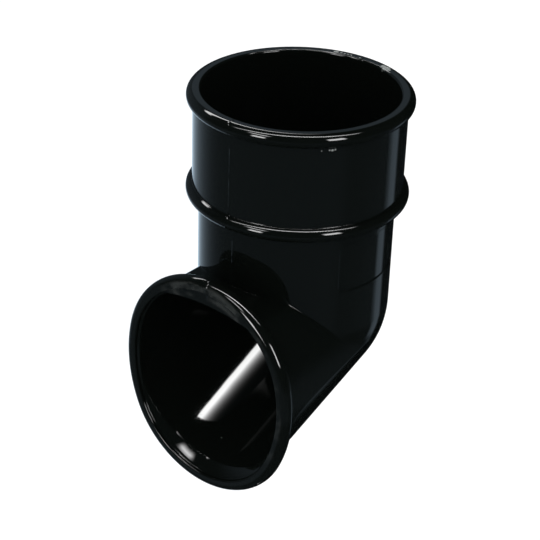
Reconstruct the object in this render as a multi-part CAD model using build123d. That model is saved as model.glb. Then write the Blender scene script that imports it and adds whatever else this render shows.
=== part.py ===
from build123d import *
from math import atan2, cos, hypot, radians, sin, sqrt, tan
import os

os.makedirs("parts", exist_ok=True)

# Downpipe shoe for a round rainwater pipe, moulded in one piece. Sizes in mm and degrees.
# Origin at the centre of the socket's stop shoulder, +Z up out of the socket, outlet towards -Y.

# Socket that slips over the end of the pipe
pipe_od = 68.0
socket_play = 1.0
socket_depth = 38.5
socket_wall = 2.75
mouth_bevel = 0.5
shoulder_width = 2.0

# Rounded bands at the socket's mouth and foot
band_rise = 2.25
band_round = 2.5
foot_band_height = 1.2
foot_band_fillet = 1.3

# Body below the stop shoulder
body_wall = 2.4

# Leg that carries the water out to the front, with the roof of its tunnel above the bend
leg_slope = 20.1
roof_drop = 24.8
roof_round = 84.0
bend_below_roof = 17.0

# Oval outlet: its rim, the lip inside the rim and the flare behind the lip
outlet_gap = 12.1
outlet_tilt = 1.2
outlet_lift = 0.65
rim_overhang = 2.45
rim_side_round = 52.7
rim_top_shift = 3.4
rim_bottom_shift = 6.95
rim_round = 2.5
rim_land = 0.2
rim_ledge = 0.15
rim_band = 4.45
lip_depth = 1.3
lip_round = 0.5
flare_depth = 5.0

# Shallow bare panel on the side of the body
panel_top = 5.6
panel_height = 18.4
panel_width = 30.7
panel_depth = 0.3
panel_corner = 2.5

# Sizes that follow from the ones above
bore_radius = (pipe_od + socket_play) / 2
socket_radius = bore_radius + socket_wall
band_radius = socket_radius + band_rise
crest_radius = band_radius - band_round
passage_radius = bore_radius - shoulder_width
body_radius = passage_radius + body_wall
bend_drop = roof_drop + bend_below_roof
outlet_reach = body_radius + outlet_gap
outlet_drop = bend_drop + outlet_reach * tan(radians(leg_slope)) - outlet_lift
rim_depth = 2 * rim_round + rim_land
overrun = 4 * body_radius
base = (Align.CENTER, Align.CENTER, Align.MIN)


def post(radius, low, high):
    """Upright round bar about the main axis."""
    return Pos(0, 0, low) * Cylinder(radius, high - low, align=base)


def barrel():
    """Outside of the socket and the body as one turned shape, with both bands."""
    mouth_band = socket_depth - band_round
    wall_rise = sqrt(band_round**2 - (socket_radius - crest_radius) ** 2)
    underside = foot_band_height - band_round
    lid = Line((0, socket_depth), (crest_radius, socket_depth))
    upper = ThreePointArc(lid @ 1, (band_radius, mouth_band), (socket_radius, mouth_band - wall_rise))
    wall = Line(upper @ 1, (socket_radius, foot_band_height + wall_rise))
    lower = ThreePointArc(wall @ 1, (band_radius, foot_band_height), (crest_radius, underside))
    body = Polyline(lower @ 1, (body_radius, underside), (body_radius, -bend_drop))
    close = Polyline(body @ 1, (0, -bend_drop), (0, socket_depth))
    face = make_face([lid, upper, wall, lower, body, close])
    corner = face.vertices().sort_by_distance((body_radius, underside))[0]
    face = fillet(corner, foot_band_fillet)
    return revolve(Plane.XZ * face, Axis.Z)


def bend(inset):
    """Round end of the body where its axis meets the leg's."""
    below = (Align.CENTER, Align.CENTER, Align.MAX)
    return Pos(0, 0, -bend_drop) * Sphere(body_radius - inset, arc_size1=-90, arc_size2=0, align=below)


def oval(inset):
    """Outline of the outlet drawn with four arcs, moved in from the rim's edge."""
    half = body_radius + rim_overhang
    side = rim_side_round - inset
    shift = rim_side_round - half
    top, bottom = (side - hypot(shift, rise) + rise for rise in (rim_top_shift, rim_bottom_shift))
    high, low = (atan2(rise, shift) for rise in (rim_top_shift, -rim_bottom_shift))
    x1, y1 = side * cos(high) - shift, side * sin(high)
    x2, y2 = side * cos(low) - shift, side * sin(low)
    right = ThreePointArc((x2, y2), (half - inset, 0), (x1, y1))
    crown = ThreePointArc((x1, y1), (0, top), (-x1, y1))
    left = ThreePointArc((-x1, y1), (inset - half, 0), (-x2, y2))
    sole = ThreePointArc((-x2, y2), (0, -bottom), (x2, y2))
    return make_face([right, crown, left, sole])


def upright(height):
    """Upright plane behind the body, facing the outlet, centred at a height."""
    return Plane((0, overrun / 2, height), x_dir=(1, 0, 0), z_dir=(0, -1, 0))


def roof(inset):
    """Everything below the nearly flat roof of the tunnel."""
    return extrude(upright(-roof_drop - roof_round) * Circle(roof_round - inset), overrun)


def leg(inset):
    """Sloping trough under a level tunnel with a nearly flat roof."""
    radius = body_radius - inset
    slope = radians(leg_slope)
    start = Plane((0, 0, -bend_drop), x_dir=(1, 0, 0), z_dir=(0, -cos(slope), -sin(slope)))
    trough = Circle(radius) + Pos(0, overrun / 2) * Rectangle(2 * radius, overrun)
    trough = extrude(start * trough, overrun)
    tunnel = extrude(upright(-outlet_drop) * oval(rim_round + rim_ledge + inset), overrun)
    return trough & tunnel & roof(inset)


def outlet_plane(forward):
    """Plane across the outlet, moved forward from the middle of its rim."""
    tilt = radians(outlet_tilt)
    middle = Plane((0, -outlet_reach, -outlet_drop), x_dir=(1, 0, 0), z_dir=(0, -cos(tilt), sin(tilt)))
    return middle.offset(forward)


def behind(forward):
    """Everything behind a plane across the outlet."""
    return extrude(outlet_plane(forward) * Rectangle(overrun, overrun), -overrun)


def rim():
    """Rounded rim around the outlet, as a full plate."""
    plate = extrude(outlet_plane(-rim_depth / 2) * oval(0), rim_depth)
    return fillet(plate.edges().filter_by(GeomType.CIRCLE), rim_round)


def mouth():
    """Opening through the rim: an even lip, then a flare that narrows to the leg's bore."""
    step = rim_depth / 2 - lip_depth
    lip = extrude(outlet_plane(step) * oval(rim_band), 2 * lip_depth)
    narrow = outlet_plane(step - flare_depth) * oval(rim_band + flare_depth)
    flare = loft([narrow, outlet_plane(step) * oval(rim_band)], ruled=True)
    return lip + (flare & roof(body_wall))


def panel():
    """Shallow bare field with round corners on the body's +X side."""
    skin = Cylinder(body_radius + panel_depth, overrun) - Cylinder(body_radius - panel_depth, overrun)
    middle = Plane((0, 0, -panel_top - panel_height / 2), x_dir=(0, 1, 0), z_dir=(1, 0, 0))
    return skin & extrude(middle * RectangleRounded(panel_width, panel_height, panel_corner), overrun)


def hollow():
    """All the space inside, from the socket's mouth to the outlet."""
    socket = post(bore_radius, 0, socket_depth + mouth_bevel)
    bevel = Cone(bore_radius, bore_radius + 2 * mouth_bevel, 2 * mouth_bevel, align=base)
    bevel = Pos(0, 0, socket_depth - mouth_bevel) * bevel
    passage = post(passage_radius, -bend_drop, 0) + bend(body_wall)
    run = leg(body_wall) & behind(rim_depth / 2 - lip_depth)
    return socket + bevel + passage + run + mouth()


def shoe():
    """The whole shoe as one solid, with the front edge of the lip rounded."""
    part = barrel() + bend(0) + (leg(0) & behind(0)) + rim() - hollow() - panel()
    lip_edge = outlet_plane(rim_depth / 2) * Pos(body_radius + rim_overhang - rim_band, 0)
    return fillet(part.edges().sort_by_distance(lip_edge.position)[0], lip_round)


def main():
    part = shoe()
    part.label = "shoe"
    export_step(part, "parts/shoe.step")


main()
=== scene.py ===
import math

import bpy
from mathutils import Matrix, Vector

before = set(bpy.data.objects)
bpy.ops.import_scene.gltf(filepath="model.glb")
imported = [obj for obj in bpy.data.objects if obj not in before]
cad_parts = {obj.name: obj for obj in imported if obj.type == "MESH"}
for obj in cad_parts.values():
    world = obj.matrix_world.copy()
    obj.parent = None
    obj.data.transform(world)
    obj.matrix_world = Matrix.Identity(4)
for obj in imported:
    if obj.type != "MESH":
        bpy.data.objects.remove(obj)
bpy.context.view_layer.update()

MM = 0.001
DEGREES = 180 / math.pi

# The lens, solved from the shoe's round edges: angles in degrees, place in metres, the rest in pixels
YAW, PITCH, ROLL = (math.radians(angle) for angle in (38.54, 29.73, 1.83))
LENS_PLACE = (0.31511, -0.41221, 0.26262)
PHOTO_WIDTH = 540
FOCAL_LENGTH = 1641.47
SIDE_SHIFT = 4.83
SENSOR_MM = 36

# Settings that many nodes share. Two limits of a smooth range are where it is nought and where it is
# full, and of four numbers the last two are the levels there. A band's third number is its softness.
PLUS = {"operation": "ADD"}
TIMES = {"operation": "MULTIPLY"}
TIMES_PLUS = {"operation": "MULTIPLY_ADD"}
SMOOTH = {"interpolation_type": "SMOOTHSTEP"}


def linear(code):
    """sRGB hex code to linear colour."""
    parts = [int(code[i:i + 2], 16) / 255 for i in (0, 2, 4)]
    return [p / 12.92 if p <= 0.04045 else ((p + 0.055) / 1.055) ** 2.4 for p in parts] + [1.0]


def add(tree, kind, *feeds, **named):
    """Adds one shader node. Names in small letters are its settings. Feeds fill its inputs in order,
    and capitalised names fill the inputs of that name, each with a value, a socket or a node."""
    node = tree.nodes.new("ShaderNode" + kind)
    for name in filter(str.islower, named):
        setattr(node, name, named[name])
    filled = list(zip([socket for socket in node.inputs if socket.enabled], feeds))
    filled += [(node.inputs[name.replace("_", " ")], named[name]) for name in named if not name.islower()]
    for socket, feed in filled:
        if isinstance(feed, bpy.types.Node):
            feed = next(output for output in feed.outputs if output.enabled)
        if isinstance(feed, bpy.types.NodeSocket):
            tree.links.new(feed, socket)
        else:
            socket.default_value = feed
    return node


def band(tree, value, low, high, soft):
    """One between low and high and nought outside, with edges as wide as soft."""
    away = add(tree, "Math", value, (low + high) / 2, operation="SUBTRACT")
    away = add(tree, "Math", away, operation="ABSOLUTE")
    half = (high - low) / 2
    return add(tree, "MapRange", away, half + soft / 2, half - soft / 2, **SMOOTH)


# The skin is in mm: x to the right, y to the back, z up from the socket's stop shoulder

# The split of the mould, a ridge taken to be 0.2 mm wide on the real one and drawn wider so that it shows.
# It is left off the foot of the rim, is fainter over the bands than on the plain walls, and breaks up.
SEAM_WIDTH = 0.6
SEAM_SOFT = 0.5
SEAM_HEIGHT = 0.13
SEAM_FADES_IN = (-62.0, -54.0)
SEAM_ON_BANDS = 0.3
SOCKET_WALL = (3.5, 30.0)
BODY_WALL = (-48.0, -6.0)
WALL_END_SOFT = 2.0
GRIT_PER_MM = 0.35
SEAM_BREAKS = (0.35, 0.6, 0.25, 1.0)

# Ripple of the cooled skin: the length and height of its waves
RIPPLE_LENGTH = 12
RIPPLE_HEIGHT = 0.02

# Rubs from handling, in patches, drawn out across the pipe and coarse enough to show, 0.45 mm apart
HANDLED_PATCH = 18
HANDLED = (0.45, 0.7)
RUBS_PER_MM = (0.10, 0.10, 2.2)
RUBS_SLANT = (0.25, 0.1, 0.0)
RUBS_SHOW = (0.58, 0.72)
RUB_HEIGHT = 0.0006

# Dust and tiny pits: specks about 0.4 mm across, in about one cell of three
SPECK_CELL = 9
SPECK_EDGE = (0.27, 0.126)
SPECK_CHOSEN = (0.62, 0.66)

# Scuffs on the mouth's inner edge and chips under the mouth's band: centre and reach. Each has a ragged
# edge, given in shares of its reach, and a grain.
RIM_SCUFFS = [((9.3, 34.9, 38.5), 1.3), ((11.0, 34.3, 38.3), 1.9), ((12.5, 33.7, 38.2), 1.2),
              ((-11.0, 34.3, 38.4), 1.2), ((-9.2, 34.9, 38.4), 0.6), ((-7.8, 35.1, 38.4), 0.5),
              ((-6.5, 35.3, 38.4), 0.5), ((-5.2, 35.4, 38.4), 0.5), ((-1.5, 35.6, 38.4), 0.5)]
CHIPS = [((28.0, -24.4, 32.4), 0.27), ((29.7, -22.3, 32.5), 0.4), ((30.3, -21.6, 32.4), 0.55),
         ((30.9, -20.8, 32.55), 0.4)]
SCUFFS_PER_MM = 1.3
CHIPS_PER_MM = 3.2
MARK_RAGGED = 0.8
MARK_EDGE = (1.35, 0.95)
MARK_DEPTH = 0.05

# The opening of the outlet as an oval, its inside from the leg to the front, and the flare behind the
# lip, which swells halfway down
OUTLET_HALF_WIDTH = 33.4
OUTLET_HALF_HEIGHT = 37.9
OUTLET_CENTRE_Z = -59.2
OUTLET_EDGE = (1.0, 0.97)
OUTLET_DEPTH = (-28.0, -34.0)
FLARE = (-49.2, -45.2)
FLARE_SWELL = 0.12

# Dull streaks along the lip at its top and right, partly rubs and partly painted sheen, paler than the PVC:
# the band of the oval that holds them, the limits along each axis, and how much of a scuff they are
LIP_BAND = (0.90, 1.05, 0.04)
LIP_FRONT = (-45.5, -47.5)
LIP_RUB_AND_SHEEN_LEFT = (-24.0, -12.0)
LIP_RUB_AND_SHEEN_FOOT = (-80.0, -66.0)
LIP_STREAKS_PER_MM = (0.12, 2.0, 0.12)
LIP_STREAKS_SHOW = (0.46, 0.66)
LIP_RUB_AND_SHEEN = 0.10

# Rounds that the mould leaves at the shoe's corners, outside and inside the outlet
CORNER_ROUND = 0.6
INSIDE_CORNER_ROUND = 0.05

# Colours of the PVC, of its scuffs and of the sheen painted along the lip, and of dust
PVC_BLACK = "090c0a"
SCUFF_AND_SHEEN = "8e9391"
DUST = "8a8e8c"
DUST_COVERS = 0.5

# IOR of PVC, roughness where the mould's polish is untouched, and what each kind of mark adds to it
PVC_IOR = 1.53
POLISHED = 0.032
RUBS_DULL = 0.10
HANDLING_DULLS = 0.02
WEAR_DULLS = 0.35
DUST_DULLS = 0.3


def split_line(tree, mm, x, z):
    """The split line up the front of the rim, body and socket."""
    seam = band(tree, x, -SEAM_WIDTH / 2, SEAM_WIDTH / 2, SEAM_SOFT)
    plain = add(tree, "Math", band(tree, z, *SOCKET_WALL, WALL_END_SOFT),
                band(tree, z, *BODY_WALL, WALL_END_SOFT), **PLUS)
    grit = add(tree, "TexNoise", Vector=mm, Scale=GRIT_PER_MM, Detail=2.0)
    for share in (add(tree, "MapRange", plain, 0.0, 1.0, SEAM_ON_BANDS, 1.0, **SMOOTH),
                  add(tree, "MapRange", z, *SEAM_FADES_IN, **SMOOTH),
                  add(tree, "MapRange", grit, *SEAM_BREAKS, **SMOOTH)):
        seam = add(tree, "Math", seam, share, **TIMES)
    return seam


def handling_rubs(tree, mm, handled):
    """Fine rubs across the pipe, in the patches that hands have held."""
    stretch = add(tree, "Mapping", Vector=mm, Scale=RUBS_PER_MM, Rotation=RUBS_SLANT)
    rubs = add(tree, "TexNoise", Vector=stretch, Scale=1.0, Detail=3.0)
    rubs = add(tree, "MapRange", rubs, *RUBS_SHOW, **SMOOTH)
    return add(tree, "Math", rubs, add(tree, "MapRange", handled, *HANDLED, **SMOOTH), **TIMES)


def dust_specks(tree, mm):
    """Specks of dust and tiny pits, here and there."""
    cells = add(tree, "TexVoronoi", Vector=mm, Scale=1 / SPECK_CELL)
    outer, inner = (radius / SPECK_CELL for radius in SPECK_EDGE)
    speck = add(tree, "MapRange", cells, outer, inner, **SMOOTH)
    chosen = add(tree, "SeparateColor", cells.outputs["Color"])
    return add(tree, "Math", speck, add(tree, "MapRange", chosen, *SPECK_CHOSEN, **SMOOTH), **TIMES)


def scuffs_and_chips(tree, mm, scuff_grain, chip_grain):
    """Pale scuffs at the mouth and chips below it, a little ragged at the edge."""
    pale_marks = 0.0
    for marks, ragged in ((RIM_SCUFFS, scuff_grain), (CHIPS, chip_grain)):
        for centre, reach in marks:
            gap = add(tree, "VectorMath", mm, centre, operation="DISTANCE")
            gap = add(tree, "Math", ragged, MARK_RAGGED * reach, gap, **TIMES_PLUS)
            outer, inner = (share * reach for share in MARK_EDGE)
            pale_marks = add(tree, "Math", pale_marks, add(tree, "MapRange", gap, outer, inner, **SMOOTH), **PLUS)
    return pale_marks


def lip_rubs_and_sheen(tree, mm, oval, x, y, z):
    """Dull streaks along the lip of the outlet, partly rubs and partly a painted sheen."""
    streaks = add(tree, "Mapping", Vector=mm, Scale=LIP_STREAKS_PER_MM)
    streaks = add(tree, "TexNoise", Vector=streaks, Scale=1.0, Detail=3.0)
    rubbed_and_sheen = add(tree, "MapRange", streaks, *LIP_STREAKS_SHOW, **SMOOTH)
    rubbed_and_sheen = add(tree, "Math", rubbed_and_sheen, band(tree, oval, *LIP_BAND), **TIMES)
    for along, limits in ((x, LIP_RUB_AND_SHEEN_LEFT), (y, LIP_FRONT), (z, LIP_RUB_AND_SHEEN_FOOT)):
        rubbed_and_sheen = add(tree, "Math", rubbed_and_sheen, add(tree, "MapRange", along, *limits, **SMOOTH), **TIMES)
    return rubbed_and_sheen


def flare_swell(tree, inside, y):
    """The swell of the flare inside the lip, fullest halfway down."""
    depth = add(tree, "MapRange", y, *FLARE, -1.0, 1.0)
    swell = add(tree, "Math", depth, depth, **TIMES)
    swell = add(tree, "Math", swell, -FLARE_SWELL, FLARE_SWELL, **TIMES_PLUS)
    return add(tree, "Math", inside, swell, **TIMES)


def gloss_black_pvc():
    """Injection-moulded PVC, coloured black right through and polished by the mould: a hard clear gloss
    with a faint ripple, a split line, fine rubs, a few pale scuffs and a sheen painted along the lip."""
    material = bpy.data.materials.new("gloss black PVC")
    material.use_nodes = True
    tree = material.node_tree
    tree.nodes.clear()
    place = add(tree, "TexCoord").outputs["Object"]
    mm = add(tree, "VectorMath", place, 1 / MM, operation="SCALE")
    x, y, z = add(tree, "SeparateXYZ", mm).outputs
    oval = add(tree, "VectorMath", mm, (1 / OUTLET_HALF_WIDTH, 0.0, 1 / OUTLET_HALF_HEIGHT),
               (0.0, 0.0, -OUTLET_CENTRE_Z / OUTLET_HALF_HEIGHT), **TIMES_PLUS)
    oval = add(tree, "VectorMath", oval, operation="LENGTH")

    # marks on the skin, and a sheen painted along the lip
    seam = split_line(tree, mm, x, z)
    handled = add(tree, "TexNoise", Vector=mm, Scale=1 / HANDLED_PATCH, Detail=2.0)
    rubs = handling_rubs(tree, mm, handled)
    speck = dust_specks(tree, mm)
    scuff_grain = add(tree, "TexNoise", Vector=mm, Scale=SCUFFS_PER_MM, Detail=3.0)
    chip_grain = add(tree, "TexNoise", Vector=mm, Scale=CHIPS_PER_MM, Detail=3.0)
    pale_marks = scuffs_and_chips(tree, mm, scuff_grain, chip_grain)
    # the lip's streaks are partly rubs and partly a painted sheen, added to the scuffs and chips
    pale_marks = add(tree, "Math", lip_rubs_and_sheen(tree, mm, oval, x, y, z), LIP_RUB_AND_SHEEN, pale_marks, **TIMES_PLUS)
    pale_marks = add(tree, "Clamp", pale_marks)

    # colour and polish
    # the scuff colour shows the scuffs and chips, and on the lip partly a painted sheen
    colour = add(tree, "Mix", pale_marks, linear(PVC_BLACK), linear(SCUFF_AND_SHEEN), data_type="RGBA")
    dusty = add(tree, "Math", speck, DUST_COVERS, **TIMES)
    colour = add(tree, "Mix", dusty, colour, linear(DUST), data_type="RGBA")
    roughness = POLISHED
    for mark, dulling in ((rubs, RUBS_DULL), (handled, HANDLING_DULLS), (pale_marks, WEAR_DULLS),
                          (speck, DUST_DULLS)):
        roughness = add(tree, "Math", mark, dulling, roughness, **TIMES_PLUS)

    # the corners' rounds catch the light, less so inside the outlet
    inside = add(tree, "Math", add(tree, "MapRange", oval, *OUTLET_EDGE, **SMOOTH),
                 add(tree, "MapRange", y, *OUTLET_DEPTH, **SMOOTH), **TIMES)
    reach = add(tree, "MapRange", inside, 0.0, 1.0, CORNER_ROUND * MM, INSIDE_CORNER_ROUND * MM, **SMOOTH)
    corner = add(tree, "Bevel", Radius=reach, samples=16)

    # relief of the skin, in mm
    ripple = add(tree, "TexNoise", Vector=mm, Scale=1 / RIPPLE_LENGTH, Detail=1.0, Roughness=0.4)
    sunk = add(tree, "Math", pale_marks, chip_grain, **TIMES)
    height = flare_swell(tree, inside, y)
    for form, tall in ((ripple, RIPPLE_HEIGHT), (seam, SEAM_HEIGHT), (rubs, RUB_HEIGHT), (sunk, -MARK_DEPTH)):
        height = add(tree, "Math", form, tall, height, **TIMES_PLUS)
    relief = add(tree, "Bump", Strength=1.0, Distance=MM, Height=height, Normal=corner)
    skin = add(tree, "BsdfPrincipled", Base_Color=colour, Roughness=roughness, IOR=PVC_IOR, Normal=relief)
    add(tree, "OutputMaterial", skin)
    return material


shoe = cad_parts["shoe"]
shoe.material_slots[0].material = gloss_black_pvc()

# The floor in metres, its colour, and the glow that keeps it white for the lens
FLOOR_HALF = 6.0
FLOOR_HEIGHT = -0.30
FLOOR_PAPER = "e8e8e8"
FLOOR_GLOW = 0.3
WHITE = "ffffff"


def studio_floor():
    """Pale floor well below the hanging shoe. It stays white for the lens, takes the shoe's shadow,
    and lets the gloss see the studio's own sweep of light through it."""
    mesh = bpy.data.meshes.new("floor")
    corners = [(-1, -1), (1, -1), (1, 1), (-1, 1)]
    mesh.from_pydata([(x * FLOOR_HALF, y * FLOOR_HALF, FLOOR_HEIGHT) for x, y in corners], [], [(0, 1, 2, 3)])
    floor = bpy.data.objects.new("floor", mesh)
    bpy.context.scene.collection.objects.link(floor)
    material = bpy.data.materials.new("white studio floor")
    material.use_nodes = True
    tree = material.node_tree
    tree.nodes.clear()
    path = add(tree, "LightPath")
    matte = add(tree, "BsdfDiffuse", Color=linear(FLOOR_PAPER))
    glow = add(tree, "Math", path.outputs["Is Camera Ray"], FLOOR_GLOW, **TIMES)
    paper = add(tree, "AddShader", matte, add(tree, "Emission", Color=linear(WHITE), Strength=glow))
    seen = add(tree, "Math", path.outputs["Is Glossy Ray"], path.outputs["Is Transmission Ray"], **PLUS)
    add(tree, "OutputMaterial", add(tree, "MixShader", seen, paper, add(tree, "BsdfTransparent")))
    mesh.materials.append(material)


studio_floor()

# Lamps and pale cards round the shoe as its gloss shows them, in degrees. Turn is measured from the
# lens, plus to the right, rise from the horizon. Each has its edges, its softness and its level.
LAMPS = {
    "left softbox": ((-47, -34), (4, 22), 4, 12.0),
    "top of the left softbox": ((-58, -36), (41, 46), 10, 16.0),
    "right softbox": ((28, 45), (14, 36), 4, 12.0),
}
CARDS = {
    "pale card to the right": ((114, 129), (-40, -21), 8, 0.30),
    "pale wall to the left": ((-165, -105), (-18, 36), 30, 0.08),
    "paper beside the outlet": ((-93, -73), (-42, -33), 4, 0.07),
    "wall behind, right end": ((168, 200), (19, 31), 8, 0.15),
    "wall behind, left end": ((-200, -168), (19, 31), 8, 0.15),
}

# The room is dim in front, brightest about 30 degrees below the horizon, dimmer to the right, and
# nearly black behind on the right. Each row is in degrees, with the levels there.
ROOM_BY_RISE = ((-24, -4, 0.072, 0.015), (-31, -37, 1.0, 0.4))
ROOM_BY_TURN = ((40, 60, 1.0, 0.62), (100, 142, 1.0, 0.2))

# The white paper sweep brightens from the left round to the back, below the horizon, in degrees
SWEEP_TURNS = (-85.0, -165.0)
SWEEP_FULL = 0.96
SWEEP_CURVE = 2.6
SWEEP_TOP = (-17, -24)
SWEEP_FOOT = (-58, -50)

# The strip light and the lamp behind lie on a plane overhead, one unit above the shoe. Across is to the
# right and towards is to the lens. The strip is shaded off to the back and has a sharp near edge. The
# plane is followed out to where the sine of its rise is least.
OVERHEAD_LEAST_SINE = 0.05
STRIP_ENDS = (-0.93, 0.74, 0.08)
STRIP_FADES = ((-1.0, 0.05, 0.3, 1.0), (0.15, 0.75, 1.0, 0.4))
STRIP_SHADING = (-0.30, 0.076)
STRIP_CURVE = 10.0
STRIP_NEAR_EDGE = (0.142, 0.126)
STRIP_LEVEL = 23.0
BACK_LAMP_ACROSS = (-0.90, 0.02, 0.2)
BACK_LAMP_SLANT = 0.55
BACK_LAMP_TOWARDS = (-1.45, -1.20, 0.1)
BACK_LAMP_LEVEL = 8.0

# Lamps are white, and the paper and the room are a little cool. Inside the shoe the photograph shows
# hardly any second reflection of a lamp, so the lamps are weak there: the limits are in reflections.
PAPER_TINT = "d4ecff"
PAPER_LEVEL = 1.2
SECOND_REFLECTION = (1.2, 1.8, 1.0, 0.04)


def room_and_sweep(tree, turn, rise):
    """The dim room and the white sweep in it."""
    room = 1.0
    for angle, falls in ((rise, ROOM_BY_RISE), (turn, ROOM_BY_TURN)):
        for fall in falls:
            room = add(tree, "Math", room, add(tree, "MapRange", angle, *fall, **SMOOTH), **TIMES)
    sweep = add(tree, "MapRange", turn, *SWEEP_TURNS, 0.0, SWEEP_FULL)
    sweep = add(tree, "Math", sweep, SWEEP_CURVE, operation="POWER")
    for edge in (SWEEP_TOP, SWEEP_FOOT):
        sweep = add(tree, "Math", sweep, add(tree, "MapRange", rise, *edge, **SMOOTH), **TIMES)
    return add(tree, "Math", room, sweep, **PLUS)


def stand_round(tree, turn, rise, panels, light):
    """Adds the lamps or the cards that stand round the shoe to the light there is."""
    for turns, rises, soft, level in panels.values():
        panel = add(tree, "Math", band(tree, turn, *turns, soft), band(tree, rise, *rises, soft), **TIMES)
        light = add(tree, "Math", panel, level, light, **TIMES_PLUS)
    return light


def strip_light(tree, across, towards):
    """The long strip light overhead."""
    strip = add(tree, "MapRange", towards, *STRIP_SHADING)
    strip = add(tree, "Math", strip, STRIP_CURVE, operation="POWER")
    strip = add(tree, "Math", strip, add(tree, "MapRange", towards, *STRIP_NEAR_EDGE, **SMOOTH), **TIMES)
    strip = add(tree, "Math", strip, band(tree, across, *STRIP_ENDS), **TIMES)
    for fade in STRIP_FADES:
        strip = add(tree, "Math", strip, add(tree, "MapRange", across, *fade, **SMOOTH), **TIMES)
    return strip


def back_lamp(tree, across, towards):
    """The lamp high up behind on the left, set aslant."""
    slanted = add(tree, "Math", across, BACK_LAMP_SLANT, towards, **TIMES_PLUS)
    return add(tree, "Math", band(tree, across, *BACK_LAMP_ACROSS), band(tree, slanted, *BACK_LAMP_TOWARDS),
               **TIMES)


def studio():
    """White for the lens, plain light for colour, and for gloss the dim room with its cards and lamps."""
    world = bpy.data.worlds.new("studio")
    bpy.context.scene.world = world
    world.use_nodes = True
    tree = world.node_tree
    tree.nodes.clear()
    path = add(tree, "LightPath")
    way = add(tree, "TexCoord").outputs["Generated"]
    axes = ((math.sin(YAW), -math.cos(YAW), 0.0), (math.cos(YAW), math.sin(YAW), 0.0), (0.0, 0.0, 1.0))
    near, side, up = (add(tree, "VectorMath", way, axis, operation="DOT_PRODUCT") for axis in axes)
    turn = add(tree, "Math", add(tree, "Math", side, near, operation="ARCTAN2"), DEGREES, **TIMES)
    rise = add(tree, "Math", add(tree, "Math", up, operation="ARCSINE"), DEGREES, **TIMES)
    above = add(tree, "Math", up, OVERHEAD_LEAST_SINE, operation="MAXIMUM")
    across = add(tree, "Math", side, above, operation="DIVIDE")
    towards = add(tree, "Math", near, above, operation="DIVIDE")

    paper = stand_round(tree, turn, rise, CARDS, room_and_sweep(tree, turn, rise))
    paper = add(tree, "Math", paper, PAPER_LEVEL, **TIMES)
    lights = stand_round(tree, turn, rise, LAMPS, 0.0)
    lights = add(tree, "Math", strip_light(tree, across, towards), STRIP_LEVEL, lights, **TIMES_PLUS)
    lights = add(tree, "Math", back_lamp(tree, across, towards), BACK_LAMP_LEVEL, lights, **TIMES_PLUS)
    weaker = add(tree, "MapRange", path.outputs["Glossy Depth"], *SECOND_REFLECTION, **SMOOTH)
    lights = add(tree, "Math", lights, weaker, **TIMES)

    gloss = add(tree, "Math", path.outputs["Is Glossy Ray"], path.outputs["Is Transmission Ray"],
                operation="MAXIMUM")
    lamps = add(tree, "Background", Color=linear(WHITE), Strength=lights)
    cool = add(tree, "Background", Color=linear(PAPER_TINT), Strength=paper)
    plain = add(tree, "Background", Color=linear(WHITE))
    shown = add(tree, "MixShader", gloss, plain, add(tree, "AddShader", lamps, cool))
    add(tree, "OutputWorld", shown)


studio()


def lens():
    """Camera at the photograph's viewing angle."""
    forward = Vector((-math.sin(YAW) * math.cos(PITCH), math.cos(YAW) * math.cos(PITCH), -math.sin(PITCH)))
    right = forward.cross(Vector((0, 0, 1))).normalized()
    up = right.cross(forward)
    across = right * math.cos(ROLL) + up * math.sin(ROLL)
    upward = up * math.cos(ROLL) - right * math.sin(ROLL)
    data = bpy.data.cameras.new("camera")
    data.lens = FOCAL_LENGTH / PHOTO_WIDTH * SENSOR_MM
    data.sensor_width = SENSOR_MM
    data.shift_x = SIDE_SHIFT / PHOTO_WIDTH
    camera = bpy.data.objects.new("camera", data)
    bpy.context.scene.collection.objects.link(camera)
    turned = Matrix((across, upward, -forward)).transposed().to_4x4()
    camera.matrix_world = Matrix.Translation(LENS_PLACE) @ turned
    bpy.context.scene.camera = camera


lens()
bpy.context.scene.view_settings.view_transform = "Standard"
